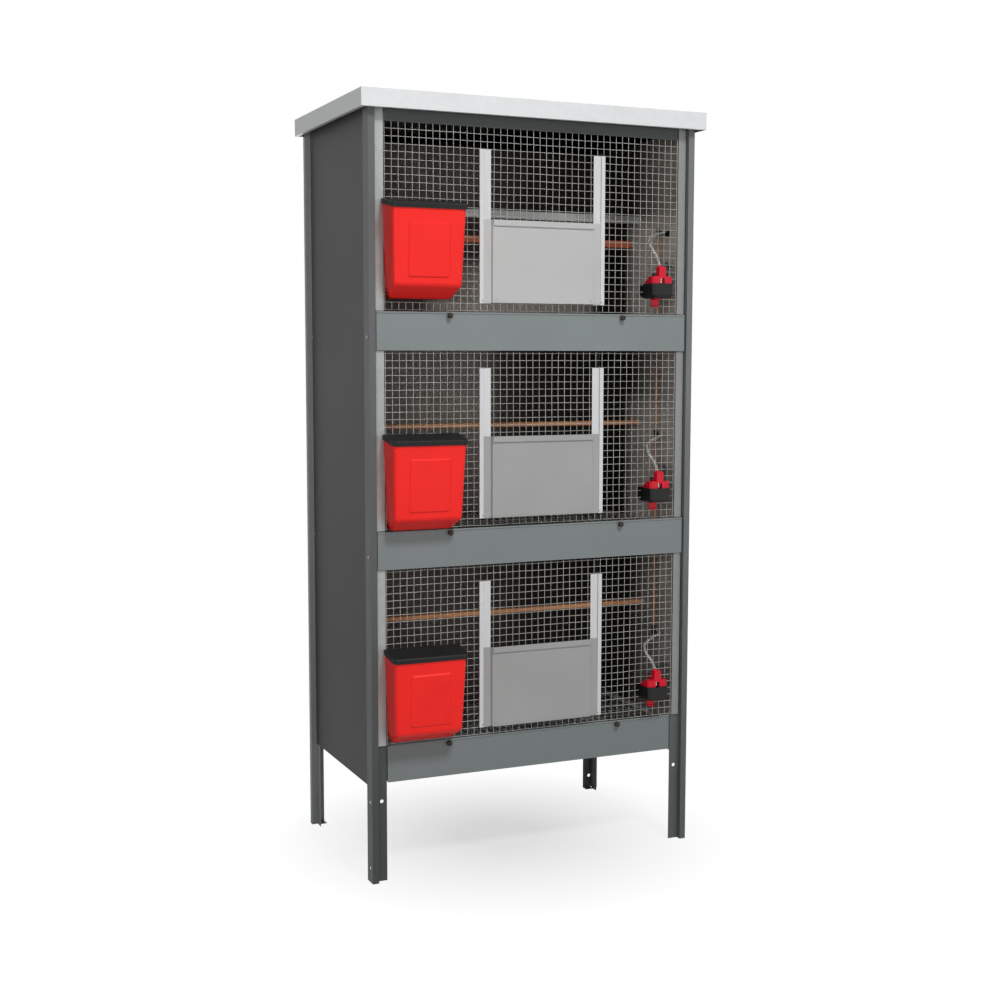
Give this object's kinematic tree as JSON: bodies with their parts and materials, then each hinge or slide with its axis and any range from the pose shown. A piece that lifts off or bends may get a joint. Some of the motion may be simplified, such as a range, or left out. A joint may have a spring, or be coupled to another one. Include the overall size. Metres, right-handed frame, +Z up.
{
  "type": "pigeon cage",
  "caption": "Upright tiered pigeon cage with folded steel frame, wire fronts, lift-up doors, hopper feeders, valve drinkers and pull-out droppings trays.",
  "frame": {"origin": "on the floor, under the middle of the whole cage with its feeders", "axes": "+Z up, the wire fronts face -Y, +X to the right seen from the front"},
  "size_m": [0.84, 0.5416, 1.728],
  "materials": {
    "grey_paint": "satin grey powder coat",
    "galvanised": "bright galvanised sheet",
    "wire": "galvanised welded wire",
    "door_paint": "light grey paint",
    "rail": "plain aluminium",
    "red_plastic": "moulded red plastic",
    "black_plastic": "moulded black plastic",
    "pin_steel": "turned stainless steel",
    "clear_hose": "clear tube",
    "amber_tube": "amber tube",
    "perch_wood": "varnished wood"
  },
  "bodies": {
    "cage": {"back_panel": "grey_paint", "clamp_strips": "galvanised", "cup_clips": "red_plastic", "door_rails_bottom": "rail", "door_rails_middle": "rail", "door_rails_top": "rail", "drinker_body_bottom": "red_plastic", "drinker_body_middle": "red_plastic", "drinker_body_top": "red_plastic", "drinker_bracket_bottom": "black_plastic", "drinker_bracket_middle": "black_plastic", "drinker_bracket_top": "black_plastic", "drinker_cup_bottom": "black_plastic", "drinker_cup_middle": "black_plastic", "drinker_cup_top": "black_plastic", "drinker_hose_bottom": "clear_hose", "drinker_hose_middle": "clear_hose", "drinker_hose_top": "clear_hose", "feeder_hopper_bottom": "red_plastic", "feeder_hopper_middle": "red_plastic", "feeder_hopper_top": "red_plastic", "foot_plates": "grey_paint", "front_mesh_bottom": "wire", "front_mesh_middle": "wire", "front_mesh_top": "wire", "header_bar": "grey_paint", "hose_tees": "black_plastic", "perch_brackets": "galvanised", "perches": "perch_wood", "post_front_left": "grey_paint", "post_front_right": "grey_paint", "post_rear_left": "grey_paint", "post_rear_right": "grey_paint", "roof": "galvanised", "side_panel_left": "grey_paint", "side_panel_right": "grey_paint", "supply_riser": "amber_tube", "tie_bar": "galvanised", "tray_runners_left": "galvanised", "tray_runners_right": "galvanised", "water_inlet": "black_plastic", "wire_floor_bottom": "wire", "wire_floor_middle": "wire", "wire_floor_top": "wire"},
    "door_top": {"door_top": "door_paint"},
    "feeder_lid_top": {"feeder_lid_top": "black_plastic"},
    "tray_top": {"tray_top": "grey_paint", "tray_knobs_top": "black_plastic"},
    "drinker_pin_top": {"drinker_pin_top": "pin_steel"},
    "door_middle": {"door_middle": "door_paint"},
    "feeder_lid_middle": {"feeder_lid_middle": "black_plastic"},
    "tray_middle": {"tray_middle": "grey_paint", "tray_knobs_middle": "black_plastic"},
    "drinker_pin_middle": {"drinker_pin_middle": "pin_steel"},
    "door_bottom": {"door_bottom": "door_paint"},
    "feeder_lid_bottom": {"feeder_lid_bottom": "black_plastic"},
    "tray_bottom": {"tray_bottom": "grey_paint", "tray_knobs_bottom": "black_plastic"},
    "drinker_pin_bottom": {"drinker_pin_bottom": "pin_steel"}
  },
  "joints": [
    {"name": "door_lift_top", "type": "slide", "parent": "cage", "child": "door_top", "axis": [0, 0, 1], "range_m": [0, 0.15]},
    {"name": "feeder_lid_hinge_top", "type": "hinge", "parent": "cage", "child": "feeder_lid_top", "pos_m": [-0.281, -0.20692, 1.49791], "axis": [-1, 0, 0], "range_deg": [0, 102]},
    {"name": "tray_slide_top", "type": "slide", "parent": "cage", "child": "tray_top", "axis": [0, -1, 0], "range_m": [0, 0.4]},
    {"name": "drinker_pin_push_top", "type": "slide", "parent": "cage", "child": "drinker_pin_top", "axis": [0, 0, 1], "range_m": [0, 0.002]},
    {"name": "door_lift_middle", "type": "slide", "parent": "cage", "child": "door_middle", "axis": [0, 0, 1], "range_m": [0, 0.15]},
    {"name": "feeder_lid_hinge_middle", "type": "hinge", "parent": "cage", "child": "feeder_lid_middle", "pos_m": [-0.281, -0.20692, 0.99391], "axis": [-1, 0, 0], "range_deg": [0, 102]},
    {"name": "tray_slide_middle", "type": "slide", "parent": "cage", "child": "tray_middle", "axis": [0, -1, 0], "range_m": [0, 0.4]},
    {"name": "drinker_pin_push_middle", "type": "slide", "parent": "cage", "child": "drinker_pin_middle", "axis": [0, 0, 1], "range_m": [0, 0.002]},
    {"name": "door_lift_bottom", "type": "slide", "parent": "cage", "child": "door_bottom", "axis": [0, 0, 1], "range_m": [0, 0.15]},
    {"name": "feeder_lid_hinge_bottom", "type": "hinge", "parent": "cage", "child": "feeder_lid_bottom", "pos_m": [-0.281, -0.20692, 0.52191], "axis": [-1, 0, 0], "range_deg": [0, 102]},
    {"name": "tray_slide_bottom", "type": "slide", "parent": "cage", "child": "tray_bottom", "axis": [0, -1, 0], "range_m": [0, 0.4]},
    {"name": "drinker_pin_push_bottom", "type": "slide", "parent": "cage", "child": "drinker_pin_bottom", "axis": [0, 0, 1], "range_m": [0, 0.002]}
  ]
}
